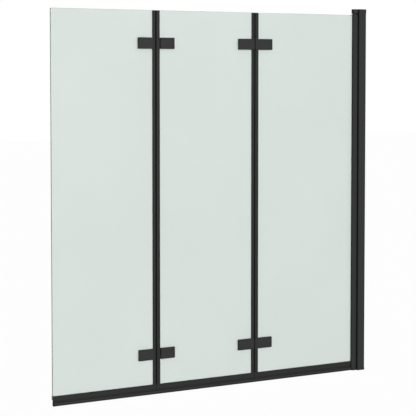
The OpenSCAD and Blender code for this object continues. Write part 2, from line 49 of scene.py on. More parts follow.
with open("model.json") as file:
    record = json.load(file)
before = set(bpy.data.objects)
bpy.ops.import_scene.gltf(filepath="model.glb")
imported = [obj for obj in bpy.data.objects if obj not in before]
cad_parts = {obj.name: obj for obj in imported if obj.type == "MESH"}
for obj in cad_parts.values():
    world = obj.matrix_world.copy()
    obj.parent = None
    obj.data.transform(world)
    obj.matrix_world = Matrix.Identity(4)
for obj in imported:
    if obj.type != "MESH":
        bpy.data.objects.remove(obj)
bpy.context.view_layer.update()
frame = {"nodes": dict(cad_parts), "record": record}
RECORD = frame["record"]
# The body of each solid
BODY_OF = {node: body for body, nodes in RECORD["behaviour"]["bodies"].items() for node in nodes}

MM = 0.001
# Roundings of inner corners and thin ends, of cut metal ends, and of soft or moulded ends
CREASE, CUT, SOFT = 0.1 * MM, 0.15 * MM, 0.2 * MM
# The least distance that keeps two faces of one piece, or a screw and its hole, apart
APART, FIT = 0.02 * MM, 0.05 * MM


# ---- Places and sizes that the solids give ----

def extent(node):
    """A solid's lowest and highest corners, as arrays."""
    low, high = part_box(node)
    return np.array(low), np.array(high)


def hinge_line(name):
    """The place of a joint's axis."""
    return next(joint for joint in RECORD["behaviour"]["joints"] if joint["name"] == name)["pos_m"]


LEAVES = ("inner", "middle", "outer")
GLASS_HALF = extent("inner_glass")[1][1]
SEAL_HALF = extent("inner_edge_seal")[1][1]
NOSE_R = extent("pivot_profile")[1][1]
PIVOT_X = hinge_line("wall_pivot")[0]
JOINT_X = {"inner": hinge_line("inner_fold")[0], "outer": hinge_line("outer_fold")[0]}
AXIS_DEPTH = abs(hinge_line("inner_fold")[1])
# The face on which a joint's knuckles stand: -1 is the front
KNUCKLE_SIDE = {"inner": -1, "outer": 1}
# A joint's leaf on each side, where 1 is towards the wall, and what that leaf's solids add to their names
LEAF_ENDS = {
    ("inner", 1): ("inner", ""), ("inner", -1): ("middle", "_inner"),
    ("outer", 1): ("middle", "_outer"), ("outer", -1): ("outer", "")
}
PLATE_LOW, PLATE_HIGH = extent("inner_leaf_clamp_plates")
PLATE_START, PLATE_END = PLATE_LOW[0] - JOINT_X["inner"], PLATE_HIGH[0] - JOINT_X["inner"]
PLATE_IN, PLATE_OUT = PLATE_LOW[1], PLATE_HIGH[1]
PIN_PLATES = {level: extent(f"inner_joint_{level}_pin_plate") for level in ("upper", "lower")}
HINGE_Z = {level: (low[2] + high[2]) / 2 for level, (low, high) in PIN_PLATES.items()}
HINGE_HALF = (PIN_PLATES["upper"][1][2] - PIN_PLATES["upper"][0][2]) / 2
# The solids' knuckles have facets, so their radius and their reach past the axis differ by some microns
KNUCKLE_R = -PIN_PLATES["upper"][0][1] - AXIS_DEPTH
KNUCKLE_REACH = extent("inner_joint_upper_swing_plate")[1][0] - JOINT_X["inner"]


# ---- Settings ----

def length(name, description, mm):
    """A setting that is a length, given in millimetres."""
    return FloatProperty(
        name=name, description=description, default=mm * MM, min=0.0, precision=5,
        unit="LENGTH", subtype="DISTANCE"
    )


def colour(name, description, default):
    """A setting that is a colour."""
    return FloatVectorProperty(
        name=name, description=description, default=default, size=3, min=0.0, max=1.0, subtype="COLOR"
    )


def amount(name, description, default):
    """A setting that is a plain number, from nothing up."""
    return FloatProperty(name=name, description=description, default=default, min=0.0)


def angle(name, description, degrees):
    """A setting that is an angle, given in degrees."""
    return FloatProperty(
        name=name, description=description, default=math.radians(degrees), unit="ROTATION", subtype="ANGLE"
    )


class BathScreenSizes(PropertyGroup):
    """Small sizes that the solids' boxes don't give."""

    glass_corner: length("Pane corner", "Radius of a pane's corners", 1.5)
    arris: length("Arris", "Width of the ground bevel round a pane", 0.7)
    glass_hole: length("Glass hole", "Radius of the screw holes in the glass", 5)
    tip_gap: length("Tip gap", "Gap left between the soft tips of two edge seals that meet", 0.06)
    bulb_wall: length("Bulb wall", "Wall of an edge seal's round tip", 1.2)
    lip_round: length("Seal lip", "Rounding of the seals' open lips", 0.5)
    neck: length("Neck", "Thickness of the neck between clip and lip", 4.4)
    drip_radius: length("Drip lip radius", "Radius of the drip lip under a pane", 7.2)
    drip_wall: length("Drip lip wall", "Wall of the drip lip", 1.4)
    drip_lean: length("Drip lip lean", "Distance that the drip lip leans to the front", 0.8)
    end_step: length("End step", "Setback of the bottom seal at the free edge", 3)
    end_step_height: length("End step height", "Height of the clip that reaches the free edge", 14.5)
    end_plug: length("End plug", "Thickness of the plug that closes the bottom seal at the free edge", 2)
    plate_edge: length("Plate edge", "Rounding of the hinge plates' outer edges", 0.8)
    plate_corner: length("Plate corner", "Radius of the hinge plates' corners", 2)
    knuckle_middle: length("Middle knuckle", "Half the height of the middle knuckle", 6.2)
    knuckle_outer: length("Outer knuckle", "Height at which the outer knuckles start", 7)
    pin_radius: length("Hinge pin", "Radius of a hinge pin", 1.75)
    pin_bore: length("Pin bore", "Radius of a knuckle's bore", 1.8)
    screw_near: length("First screw", "Distance from the joint to a plate's first screw", 28)
    screw_pitch: length("Screw pitch", "Distance between a plate's two screws", 30)
    screw_radius: length("Screw radius", "Radius of a hinge screw's thread", 2.5)
    screw_head: length("Screw head", "Radius of a hinge screw's head", 4.6)
    screw_tip: length("Screw tip", "Distance from the glass's middle to a screw's tip", 7.6)
    socket: length("Socket", "Radius of a hinge screw's socket at its corners", 1.7)
    profile_wall: length("Profile wall", "Wall of the wall profile", 2)
    profile_corner: length("Profile corner", "Rounding of the extrusions' outer corners", 1)
    port_radius: length("Screw port", "Radius of a screw port in the wall profile", 3.6)
    port_bore: length("Port bore", "Radius of a screw port's bore", 1.85)
    port_y: length("Port place", "Distance of a screw port from the profile's middle", 7.6)
    port_x: length("Port depth", "Distance of a screw port from the wall", 27.2)
    slot_half: length("Glazing slot", "Half the width of the slot that holds the glass", 4.4)
    slot_end: length("Slot end", "Distance from the swing axis to the slot's end", 5.2)
    bush_radius: length("Bush radius", "Outer radius of a pivot bush", 4)
    collar_radius: length("Collar radius", "Radius of a pivot bush's collar", 7.4)
    cap_corner: length("Cap corner", "Radius of the cap's and the foot's upright corners", 1.8)
    cap_edge: length("Cap edge", "Rounding of the cap's and the foot's outer edges", 0.4)
    fin: length("Fin", "Thickness of the soft fin beside the nose", 1.2)


class BathScreenColours(PropertyGroup):
    """The colours of the finishes."""

    satin: colour("Satin glass", "Tint of the satin glass", (0.72, 0.785, 0.75))
    edge: colour("Glass edge", "Tint of the glass's ground edges", (0.38, 0.45, 0.42))
    coat: colour("Powder coat", "Black powder coat on the profiles and hinges", (0.0225, 0.0235, 0.0233))
    seal: colour("Seal", "Black extruded plastic of the seals' clips", (0.0165, 0.0172, 0.017))
    # The seal tips' tint is darker than the clips' as painted shade of the groove between two tips that meet
    bulb: colour("Seal tip", "Softer, darker plastic of the edge seals' round tips", (0.0105, 0.011, 0.0108))
    # The drip lips' tint is lighter than the clips' as painted light falling on them from above
    drip: colour("Drip lip", "Softer plastic of the drip lips", (0.021, 0.022, 0.0217))
    moulded: colour("Moulded plastic", "Plastic of cap, foot, bushes and washers", (0.0215, 0.0225, 0.0222))
    rubber: colour("Rubber", "Black rubber of pads and gaskets", (0.018, 0.018, 0.018))
    black_steel: colour("Blackened steel", "Screws", (0.05, 0.05, 0.052))
    steel: colour("Steel", "Ground stainless steel pins", (0.55, 0.55, 0.56))
    aluminium: colour("Plain aluminium", "The hidden wall channel", (0.6, 0.61, 0.62))
    nylon: colour("White nylon", "Sleeves of the hinge screws", (0.72, 0.72, 0.69))
    floor: colour("Floor", "The plain pale floor", (0.36, 0.36, 0.36))


class BathScreenStage(PropertyGroup):
    """The floor, the light and the camera."""

    floor_height: FloatProperty(
        name="Floor height", default=-0.5585, unit="LENGTH", subtype="DISTANCE",
        description="Height of the floor under the screen, which hangs above a bath's rim"
    )
    floor_lift: amount("Floor lift", "Light that the camera sees in the floor, up to white", 0.67)
    world_level: amount("World level", "Strength of the light from all round", 0.5)
    key_level: amount("Key light", "Strength of the soft sun from the front", 2.07)
    fill_level: amount("Fill light", "Strength of the soft sun from behind", 1.6)
    camera_place: FloatVectorProperty(
        name="Camera place", description="Where the camera stands", default=(-3.3488, -4.5846, 1.1328),
        size=3, unit="LENGTH", subtype="XYZ_LENGTH"
    )
    camera_turn: angle("Camera turn", "Turn of the view from straight ahead to the right", 30.156)
    camera_dip: angle("Camera dip", "Tilt of the view below the horizon", 3.061)
    lens: amount("Lens", "Focal length in millimetres", 127.69)
    shift: FloatProperty(name="Shift", description="Upright shift of the lens", default=-0.13)


# ---- Outlines: closed loops of points, anticlockwise round a solid and clockwise round a hole ----

def unit(vectors):
    """Vectors of length one."""
    return vectors / np.maximum(np.linalg.norm(vectors, axis=-1, keepdims=True), 1e-12)


def arc(centre, radius, start, end, steps=12):
    """Points on an arc between two angles in degrees: the centre plus radius times (cosine, sine)."""
    turn = np.radians(np.linspace(start, end, steps + 1))
    return np.column_stack((centre[0] + radius * np.cos(turn), centre[1] + radius * np.sin(turn)))


def circle(centre, radius, steps=36, hole=False):
    """A full circle, clockwise for a hole."""
    loop = arc(centre, radius, 0, 360, steps)[:-1]
    return loop[::-1] if hole else loop


def angled(axis, start, *moves):
    """Corners of an outline that goes from its start along one axis, then along the other, in turn."""
    corners = [start]
    for k, value in enumerate(moves, "xy".index(axis)):
        x, y = corners[-1]
        corners.append((x, value) if k % 2 else (value, y))
    return corners


def rounded(corners, radius, steps=4):
    """A closed outline whose corners are arcs.

    An arc's centre is on its corner's bisector, away from the corner by the radius over the sine of half the
    angle. It starts and ends where the sides touch it, away from the corner by the radius over the tangent of
    half the angle. Points closer together than a ten-thousandth of a millimetre become one.
    """
    corners = np.asarray(corners, float)
    radius = np.broadcast_to(np.asarray(radius, float), len(corners))[:, None]
    back, on = unit(np.roll(corners, 1, 0) - corners), unit(np.roll(corners, -1, 0) - corners)
    half = np.arccos(np.clip((back * on).sum(1), -1, 1))[:, None] / 2
    centre = corners + unit(back + on) * radius / np.sin(half)
    start, end = (corners + side * radius / np.tan(half) - centre for side in (back, on))
    sweep = np.arctan2(start[:, 0] * end[:, 1] - start[:, 1] * end[:, 0], (start * end).sum(1))
    turn = sweep[:, None] * np.linspace(0, 1, steps + 1)
    x = start[:, :1] * np.cos(turn) - start[:, 1:] * np.sin(turn)
    y = start[:, :1] * np.sin(turn) + start[:, 1:] * np.cos(turn)
    loop = (centre[:, None] + np.stack((x, y), axis=-1)).reshape(-1, 2)
    return loop[np.linalg.norm(loop - np.roll(loop, 1, 0), axis=1) > 1e-4 * MM]


def rectangle(low, high, radius, steps=4):
    """A rectangle with round corners."""
    return rounded(angled("x", low, *high, low[0]), radius, steps)


# ---- Surfaces: stacks of rings ----

def rings(loop, path):
    """Copies of a loop at the heights of a path of (height, inset) pairs.

    Each point moves into the solid by the inset times the sum of its two sides' normals over one plus their
    cosine, so that every side moves by just the inset.
    """
    path = np.asarray(path, float)
    side = unit(np.roll(loop, -1, 0) - loop)
    normal = np.column_stack((-side[:, 1], side[:, 0]))
    before = np.roll(normal, 1, 0)
    move = (before + normal) / (1 + (before * normal).sum(1))[:, None]
    flat = loop[None] + move[None] * path[:, 1, None, None]
    height = np.broadcast_to(path[:, 0, None, None], flat.shape[:2] + (1,))
    return np.concatenate((flat, height), axis=-1)


def soft_ends(low, high, edge_low, edge_high=None, steps=4):
    """A path whose ends are quarter circles: the inset falls from the radius to nothing and grows again."""
    edge_high = edge_low if edge_high is None else edge_high
    turn = np.linspace(0, np.pi / 2, steps + 1)
    start = np.column_stack((low + edge_low * (1 - np.cos(turn)), edge_low * (1 - np.sin(turn))))
    end = np.column_stack((high - edge_high * (1 - np.cos(turn)), edge_high * (1 - np.sin(turn))))[::-1]
    return np.concatenate((start, end))


def turned(profile, centre=(0, 0), steps=36, hole=False, six_sided=None):
    """A profile of (height, radius) pairs turned about an axis: the centre plus radius times (cosine, sine).

    Where six_sided is 1, the radius is that of a hexagon's corner, and it shrinks towards the flats by the
    cosine of 30 degrees over the cosine of the angle from the flat's middle. Between 0 and 1 the ring is
    between the two.
    """
    profile = np.asarray(profile, float)
    turn = np.radians(np.arange(steps) * 360 / steps)
    turn = turn[::-1] if hole else turn
    flats = np.cos(np.pi / 6) / np.cos(np.mod(turn, np.pi / 3) - np.pi / 6)
    share = np.zeros(len(profile)) if six_sided is None else np.asarray(six_sided, float)
    radius = profile[:, 1, None] * (1 + share[:, None] * (flats - 1))
    height = np.broadcast_to(profile[:, 0, None], radius.shape)
    return np.stack((centre[0] + radius * np.cos(turn), centre[1] + radius * np.sin(turn), height), axis=-1)


def drum(low, high, radius, bevel, way=-1):
    """A profile with the same bevel at both ends: narrower there, or wider with way of 1, as a bore is."""
    end = radius + way * bevel
    return [(low, end), (low + bevel, radius), (high - bevel, radius), (high, end)]


def upright(low, high, up):
    """The heights between which a piece is built: mirrored for up of -1, where it is turned over later."""
    return (low[2], high[2]) if up > 0 else (-high[2], -low[2])


class Surface:
    """Closed surfaces that share one mesh."""

    def __init__(self):
        self.points, self.faces, self.slots, self.smooth = [], [], [], []
        self.count = 0
        self.place("z")

    def place(self, axis, signs=(1, 1, 1), at=(0, 0, 0)):
        """Sets where the next surfaces go: the axis of their heights, then a mirror's signs, then a place."""
        self.roll = "zxy".index(axis)
        self.signs, self.at = np.array(signs, float), np.array(at, float)
        return self

    def add_faces(self, faces, slot, smooth):
        """Adds faces, turned over where the signs mirror them."""
        faces = faces[:, ::-1] if self.signs.prod() < 0 else faces
        self.faces.extend(faces.tolist())
        self.slots.extend(np.broadcast_to(slot, len(faces)).tolist())
        self.smooth.extend([smooth] * len(faces))

    def add_stack(self, stack, slot=0):
        """Adds a stack of rings: a quad joins each point, the next one on its ring and the two above them.

        The slot is one number, or one for each side of the ring.
        """
        index = self.count + np.arange(stack.shape[0] * stack.shape[1]).reshape(stack.shape[:2])
        self.points.append(np.roll(stack.reshape(-1, 3), self.roll, axis=1) * self.signs + self.at)
        self.count += index.size
        on = np.roll(index, -1, axis=1)
        slots = np.broadcast_to(slot, on[1:].shape).ravel()
        quads = np.stack((index[:-1], on[:-1], on[1:], index[1:]), axis=-1).reshape(-1, 4)
        self.add_faces(quads, slots, True)
        return index

    def cap(self, loops, indices, upwards):
        """The faces that fill an end: one for a ring alone, or triangles between a ring and its holes."""
        flat, index = np.concatenate(loops)[:, :2], np.concatenate(indices)
        if len(loops) == 1:
            x, y = flat.T
            faces = index[None]
            wrong = np.array([((x * np.roll(y, -1) - np.roll(x, -1) * y).sum() > 0) != upwards])
        else:
            faces = np.array(tessellate_polygon([loop.tolist() for loop in loops]))
            a, b, c = flat[faces].swapaxes(0, 1)
            wrong = ((b - a)[:, 0] * (c - a)[:, 1] - (b - a)[:, 1] * (c - a)[:, 0] > 0) != upwards
            faces = index[faces]
        faces[wrong] = faces[wrong][:, ::-1]
        return faces

    def solid(self, outer, holes=(), pits=(), side=0):
        """A closed solid between two flat ends.

        outer and the holes are stacks from the low end to the high end. A pit is a stack from its floor up to
        the high end. side is the finish of the sides, or one for each side of the outer ring.
        """
        through = [(outer, self.add_stack(outer, side))]
        side = np.max(side)
        through += [(stack, self.add_stack(stack, side)) for stack in holes]
        sunk = [(stack, self.add_stack(stack, side)) for stack in pits]
        for end, upwards, stacks in ((0, False, through), (-1, True, through + sunk)):
            loops, indices = zip(*((stack[end], index[end]) for stack, index in stacks))
            self.add_faces(self.cap(loops, indices, upwards), 0, False)
        for stack, index in sunk:
            self.add_faces(self.cap([stack[0]], [index[0]], True), side, False)
        return self

    def sweep(self, path, outline, *holes, side=0):
        """A solid that carries an outline and its holes along a path."""
        return self.solid(rings(outline, path), [rings(hole, path) for hole in holes], side=side)

    def piece(self, name, node, *finishes, sharp=35):
        """Makes the object, gives it its finishes and puts it on its solid's body, in the solid's place."""
        mesh = bpy.data.meshes.new(name)
        mesh.from_pydata(np.concatenate(self.points).tolist(), [], self.faces)
        mesh.polygons.foreach_set("material_index", self.slots)
        mesh.polygons.foreach_set("use_smooth", self.smooth)
        mesh.set_sharp_from_angle(angle=math.radians(sharp))
        for key in finishes:
            mesh.materials.append(finish_of(key))
        piece = bpy.data.objects.new(name, mesh)
        bpy.context.scene.collection.objects.link(piece)
        weigh = piece.modifiers.new("Flat faces stay flat", "WEIGHTED_NORMAL")
        weigh.keep_sharp = True
        weigh.mode = "FACE_AREA"
        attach(piece, BODY_OF[node])
        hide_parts(node)


# ---- Finishes ----

class Nodes:
    """A node tree under construction."""

    def __init__(self, tree):
        self.tree = tree

    def fill(self, node, inputs):
        """Links or fills a node's inputs."""
        for key, value in inputs.items():
            if isinstance(value, bpy.types.NodeSocket):
                self.tree.links.new(value, node.inputs[key])
            else:
                node.inputs[key].default_value = value

    def add(self, kind, inputs=None, **settings):
        """Adds a node, sets it, and links or fills its inputs."""
        node = self.tree.nodes.new(kind)
        for key, value in settings.items():
            setattr(node, key, value)
        self.fill(node, inputs or {})
        return node


class Finish(Nodes):
    """A material under construction, with its shader and its object coordinates."""

    def __init__(self, name):
        self.material = bpy.data.materials.new(name)
        self.material.use_nodes = True
        super().__init__(self.material.node_tree)
        self.shader = self.tree.nodes["Principled BSDF"]
        self.place = self.add("ShaderNodeTexCoord").outputs["Object"]

    def stretched(self, scale):
        """Object coordinates scaled by a factor along each axis."""
        return self.add("ShaderNodeMapping", {"Vector": self.place, "Scale": scale}).outputs["Vector"]

    def noise(self, size, detail=2.0, where=None, rough=0.5):
        """Noise whose features are about as large as the size, in metres."""
        inputs = {"Vector": where or self.place, "Scale": 1 / size, "Detail": detail, "Roughness": rough}
        return self.add("ShaderNodeTexNoise", inputs).outputs["Fac"]

    def shades(self, factor, tint, spread):
        """A colour from a share below the tint to a share above it, as the factor goes from 0.3 to 0.7."""
        node = self.add("ShaderNodeValToRGB", {"Fac": factor})
        for element, at, share in zip(node.color_ramp.elements, (0.3, 0.7), (1 - spread, 1 + spread)):
            element.position, element.color = at, (*(c * share for c in tint), 1)
        return node.outputs["Color"]

    def between(self, factor, low, high):
        """A number that goes from low to high as the factor goes from 0.3 to 0.7."""
        inputs = {"Value": factor, "From Min": 0.3, "From Max": 0.7, "To Min": low, "To Max": high}
        return self.add("ShaderNodeMapRange", inputs).outputs["Result"]

    def bump(self, height, depth, strength=0.4, over=None):
        """A bump of the given depth in metres, laid over another one."""
        inputs = {"Height": height, "Distance": depth, "Strength": strength}
        if over:
            inputs["Normal"] = over
        return self.add("ShaderNodeBump", inputs).outputs["Normal"]

    def set(self, **sockets):
        """Fills or links the shader's sockets, named with underscores."""
        self.fill(self.shader, {key.replace("_", " "): value for key, value in sockets.items()})
        return self.material


def satin_glass(colours):
    """Etched glass: mostly scattering, a little see-through, with a fine grain and a faint cloudiness."""
    finish = Finish("Satin glass")
    cloud = finish.noise(0.35, 1.0)
    grain = finish.noise(0.5 * MM)
    return finish.set(
        Base_Color=finish.shades(cloud, colours.satin, 0.012), Roughness=finish.between(grain, 0.5, 0.58),
        IOR=1.5, Transmission_Weight=0.2, Normal=finish.bump(grain, 0.02 * MM)
    )


def glass_edge(colours):
    """The glass's ground and polished edge, greener and darker than its faces, with a fine grinding grain."""
    finish = Finish("Ground glass edge")
    grain = finish.noise(0.25 * MM, 1.0)
    return finish.set(
        Base_Color=finish.shades(grain, colours.edge, 0.06), Roughness=finish.between(grain, 0.22, 0.34),
        IOR=1.5, Transmission_Weight=0.25, Normal=finish.bump(grain, 0.01 * MM)
    )


# How much the matt black finishes mirror
MATT = 0.18


def powder_coat(colours):
    """Matt black powder coat: a fine orange peel with a finer grain on it."""
    finish = Finish("Black powder coat")
    peel = finish.noise(1.6 * MM)
    grain = finish.noise(0.35 * MM, 3.0, rough=0.6)
    return finish.set(
        Base_Color=finish.shades(grain, colours.coat, 0.16), Roughness=finish.between(peel, 0.5, 0.6),
        Specular_IOR_Level=MATT, Normal=finish.bump(grain, 0.02 * MM, 0.5, finish.bump(peel, 0.03 * MM, 0.5))
    )


def drawn_plastic(name, tint, axis):
    """Extruded plastic: faint lines along the way it left the die, over a soft grain."""
    finish = Finish(name)
    scale = [1.0, 1.0, 1.0]
    scale["xyz".index(axis)] = 0.004
    lines = finish.noise(0.4 * MM, where=finish.stretched(scale))
    grain = finish.noise(0.6 * MM)
    return finish.set(
        Base_Color=finish.shades(lines, tint, 0.12), Roughness=finish.between(grain, 0.46, 0.56),
        Specular_IOR_Level=MATT, Normal=finish.bump(grain, 0.012 * MM, over=finish.bump(lines, 0.02 * MM))
    )


def moulded_plastic(name, tint, rough):
    """Moulded plastic with a spark-eroded texture: small rounded cells."""
    finish = Finish(name)
    where = {"Vector": finish.place, "Scale": 1 / (0.5 * MM)}
    cells = finish.add("ShaderNodeTexVoronoi", where, feature="SMOOTH_F1")
    tone = finish.noise(4 * MM)
    return finish.set(
        Base_Color=finish.shades(tone, tint, 0.08),
        Roughness=finish.between(tone, rough - 0.04, rough + 0.04),
        Specular_IOR_Level=MATT, Normal=finish.bump(cells.outputs["Distance"], 0.02 * MM)
    )


def rubber(colours):
    """Matt rubber with a dusty, very fine grain."""
    finish = Finish("Black rubber")
    grain = finish.noise(0.4 * MM, 3.0, rough=0.65)
    return finish.set(
        Base_Color=finish.shades(grain, colours.rubber, 0.2), Roughness=finish.between(grain, 0.7, 0.82),
        Specular_IOR_Level=MATT, Normal=finish.bump(grain, 0.02 * MM, 0.5)
    )


def worked_metal(name, tint, rough, scale):
    """Bare or blackened metal with lines along the way it was drawn or turned."""
    finish = Finish(name)
    lines = finish.noise(0.12 * MM, where=finish.stretched(scale))
    tone = finish.noise(3 * MM)
    return finish.set(
        Base_Color=finish.shades(tone, tint, 0.07), Metallic=1.0,
        Roughness=finish.between(lines, rough - 0.05, rough + 0.07), Normal=finish.bump(lines, 0.006 * MM)
    )


FINISHES = {
    "satin": satin_glass,
    "edge": glass_edge,
    "coat": powder_coat,
    "upright_seal": lambda c: drawn_plastic("Black seal, drawn upright", c.seal, "z"),
    "level_seal": lambda c: drawn_plastic("Black seal, drawn level", c.seal, "x"),
    # The seal tip finish carries painted shade: its tint is darker than the clips'
    "bulb": lambda c: drawn_plastic("Soft black seal tip", c.bulb, "z"),
    # The drip lip finish carries painted light: its tint is lighter than the clips'
    "drip": lambda c: drawn_plastic("Soft black drip lip", c.drip, "x"),
    "moulded": lambda c: moulded_plastic("Black moulded plastic", c.moulded, 0.52),
    "nylon": lambda c: moulded_plastic("White nylon", c.nylon, 0.36),
    "rubber": rubber,
    "black_steel": lambda c: worked_metal("Blackened steel", c.black_steel, 0.38, (1, 1, 1)),
    "steel": lambda c: worked_metal("Ground steel", c.steel, 0.26, (1, 1, 0.01)),
    "aluminium": lambda c: worked_metal("Plain aluminium", c.aluminium, 0.4, (1, 1, 0.004)),
}
made = {}


def finish_of(key):
    """The named finish, made the first time that it is asked for."""
    if key not in made:
        made[key] = FINISHES[key](bpy.context.scene.bath_screen_colours)
    return made[key]


# ---- Pieces ----

def screw_places(sizes):
    """Distances of a hinge plate's screws from the middle of the joint."""
    return [sizes.screw_near, sizes.screw_near + sizes.screw_pitch]


def hinge_ends(leaf):
    """The joints at which a leaf has hinges, each with the leaf's side of it."""
    return [key for key, (name, _) in LEAF_ENDS.items() if name == leaf]


class BATHSCREEN_OT_panes(Operator):
    """Makes the three panes: rounded rectangles with a ground arris and holes for the hinge screws"""

    bl_idname = "bath_screen.panes"
    bl_label = "Glass Panes"

    def execute(self, context):
        sizes = context.scene.bath_screen_sizes
        bevel = sizes.arris
        path = [(-GLASS_HALF, bevel), (bevel - GLASS_HALF, 0), (GLASS_HALF - bevel, 0), (GLASS_HALF, bevel)]
        for leaf in LEAVES:
            low, high = extent(f"{leaf}_glass")
            outline = rectangle((low[2], low[0]), (high[2], high[0]), sizes.glass_corner)
            holes = [
                circle((z, JOINT_X[joint] + side * u), sizes.glass_hole, hole=True)
                for joint, side in hinge_ends(leaf)
                for z in HINGE_Z.values()
                for u in screw_places(sizes)
            ]
            surface = Surface().place("y").sweep(path, outline, *holes, side=1)
            surface.piece(f"{leaf}_pane", f"{leaf}_glass", "satin", "edge", sharp=30)
        return {"FINISHED"}


class BATHSCREEN_OT_edge_seals(Operator):
    """Makes the four edge seals: a hollow round tip and a clip with soft lips, carried up the glass"""

    bl_idname = "bath_screen.edge_seals"
    bl_label = "Edge Seals"

    def execute(self, context):
        sizes = context.scene.bath_screen_sizes
        low, high = extent("inner_edge_seal")
        reach, bottom = high[0] - JOINT_X["inner"], extent("inner_glass")[0][0] - JOINT_X["inner"]
        centre = (sizes.tip_gap / 2 + SEAL_HALF, 0)
        tip = arc(centre, SEAL_HALF, 90, 270, 20)
        lip = sizes.lip_round
        corners = angled(
            "x", (centre[0], -SEAL_HALF), reach, -GLASS_HALF, bottom, GLASS_HALF, reach, SEAL_HALF, centre[0]
        )
        clip = rounded(corners, [0, lip, lip, CREASE, CREASE, lip, lip, 0])[1:-1]
        outline = np.concatenate((tip, clip))
        hollow = arc(centre, SEAL_HALF - sizes.bulb_wall, 270, 90, 16)
        parts = [1] * (len(tip) - 1) + [0] * (len(clip) + 1)
        path = soft_ends(low[2], high[2], SOFT)
        for (joint, side), (leaf, end) in LEAF_ENDS.items():
            name = f"{leaf}_seal_by{end}_joint" if end else f"{leaf}_seal"
            surface = Surface().place("z", (side, 1, 1), (JOINT_X[joint], 0, 0))
            surface.sweep(path, outline, hollow, side=parts)
            # The round tips get the finish with painted shade
            surface.piece(name, f"{leaf}_edge_seal{end}", "upright_seal", "bulb")
        return {"FINISHED"}


class BATHSCREEN_OT_bottom_seals(Operator):
    """Makes the three bottom seals: a clip under the glass, a neck and a hollow drip lip along the leaf"""

    bl_idname = "bath_screen.bottom_seals"
    bl_label = "Bottom Seals"

    def execute(self, context):
        sizes = context.scene.bath_screen_sizes
        wall, floor, turn, lip = 1.8 * MM, 3 * MM, 0.9 * MM, sizes.lip_round
        glass_low, clip_top = extent("inner_glass")[0][2], extent("inner_bottom_seal")[1][2]
        clip_half, clip_low = GLASS_HALF + wall, glass_low - floor
        middle = (-sizes.drip_lean, sizes.drip_radius)
        spread = math.degrees(math.asin(sizes.neck / 2 / sizes.drip_radius))
        neck_left, neck_right = middle[0] - sizes.neck / 2, middle[0] + sizes.neck / 2
        neck_low = middle[1] + sizes.drip_radius * math.cos(math.radians(spread))
        corners = angled(
            "y", (neck_right, neck_low), clip_low, clip_half, clip_top, GLASS_HALF, glass_low, -GLASS_HALF,
            clip_top, -clip_half, clip_low, neck_left, neck_low
        )
        clip = rounded(corners, [0, turn, turn, lip, lip, CREASE, CREASE, lip, lip, turn, turn, 0])
        drip = arc(middle, sizes.drip_radius, 90 + spread, 450 - spread, 36)
        outline = np.concatenate((clip, drip[1:-1]))
        hollow = circle(middle, sizes.drip_radius - sizes.drip_wall, 28, hole=True)
        parts = [0] * (len(clip) - 1) + [1] * (len(drip) - 1)
        plug_top = (clip_low + glass_low) / 2
        below = arc(middle, sizes.drip_radius, 180, 360, 28)
        plug = np.concatenate(([(-clip_half, plug_top)], below, [(clip_half, plug_top)]))
        for leaf in LEAVES:
            low, high = extent(f"{leaf}_bottom_seal")
            # At the free edge the seal is set back and ends in its plug, and only the clip's walls run on
            step, sunk = (sizes.end_step, 0.3 * MM) if leaf == "outer" else (0, 0)
            start, overlap, corner = low[0] + step, 2 * MM, 0.4 * MM
            path = soft_ends(start + sunk, high[0], SOFT)
            surface = Surface().place("x").sweep(path, outline, hollow, side=parts)
            if sunk:
                surface.sweep(soft_ends(start, start + sizes.end_plug, SOFT), plug)
                for side in (-1, 1):
                    near, far = sorted((side * (GLASS_HALF + APART), side * (clip_half - APART)))
                    strip = rectangle((near, clip_top - sizes.end_step_height), (far, clip_top), corner)
                    surface.sweep(soft_ends(low[0], start + overlap, SOFT), strip)
            surface.piece(f"{leaf}_drip_seal", f"{leaf}_bottom_seal", "level_seal", "drip")
        return {"FINISHED"}


class BATHSCREEN_OT_pivot_profile(Operator):
    """Makes the swinging profile: a nose round behind, a bore, a chamber and jaws, and its gasket"""

    bl_idname = "bath_screen.pivot_profile"
    bl_label = "Pivot Profile"

    def execute(self, context):
        sizes = context.scene.bath_screen_sizes
        low, high = extent("pivot_profile")
        mouth = low[0] - PIVOT_X
        corner, lip, slot, wall = sizes.profile_corner, 0.4 * MM, sizes.slot_half, 1.6 * MM
        jaws = rounded(
            angled("x", (0, NOSE_R), mouth, slot, -sizes.slot_end, -slot, mouth, -NOSE_R, NOSE_R, 0),
            [0, corner, lip, SOFT, SOFT, lip, corner, corner, 0]
        )
        outline = np.concatenate((arc((0, 0), NOSE_R, 0, 90, 20), jaws[1:-1]))
        bore = circle((0, 0), sizes.bush_radius, hole=True)
        # The chamber ends just short of the nose's two flat sides
        spread = 88
        chamber = np.concatenate((
            arc((0, 0), sizes.bush_radius + wall, -spread, spread, 20),
            arc((0, 0), NOSE_R - wall, spread, -spread, 20),
        ))
        surface = Surface().place("z", at=(PIVOT_X, 0, 0))
        surface.sweep(soft_ends(low[2], high[2], CUT), outline, bore, chamber)
        surface.piece("swing_profile", "pivot_profile", "coat")

        low, high = extent("glazing_gasket")
        lip_end = low[0] - PIVOT_X
        outline = rounded(
            angled("x", (lip_end, GLASS_HALF), -sizes.slot_end, slot, mouth, high[1], lip_end),
            [CUT, SOFT, SOFT, CREASE, CUT, SOFT]
        )
        surface, path = Surface(), soft_ends(low[2], high[2], CREASE)
        for side in (-1, 1):
            surface.place("z", (1, side, 1), (PIVOT_X, 0, 0)).sweep(path, outline)
        surface.piece("glass_gasket", "glazing_gasket", "rubber")
        return {"FINISHED"}


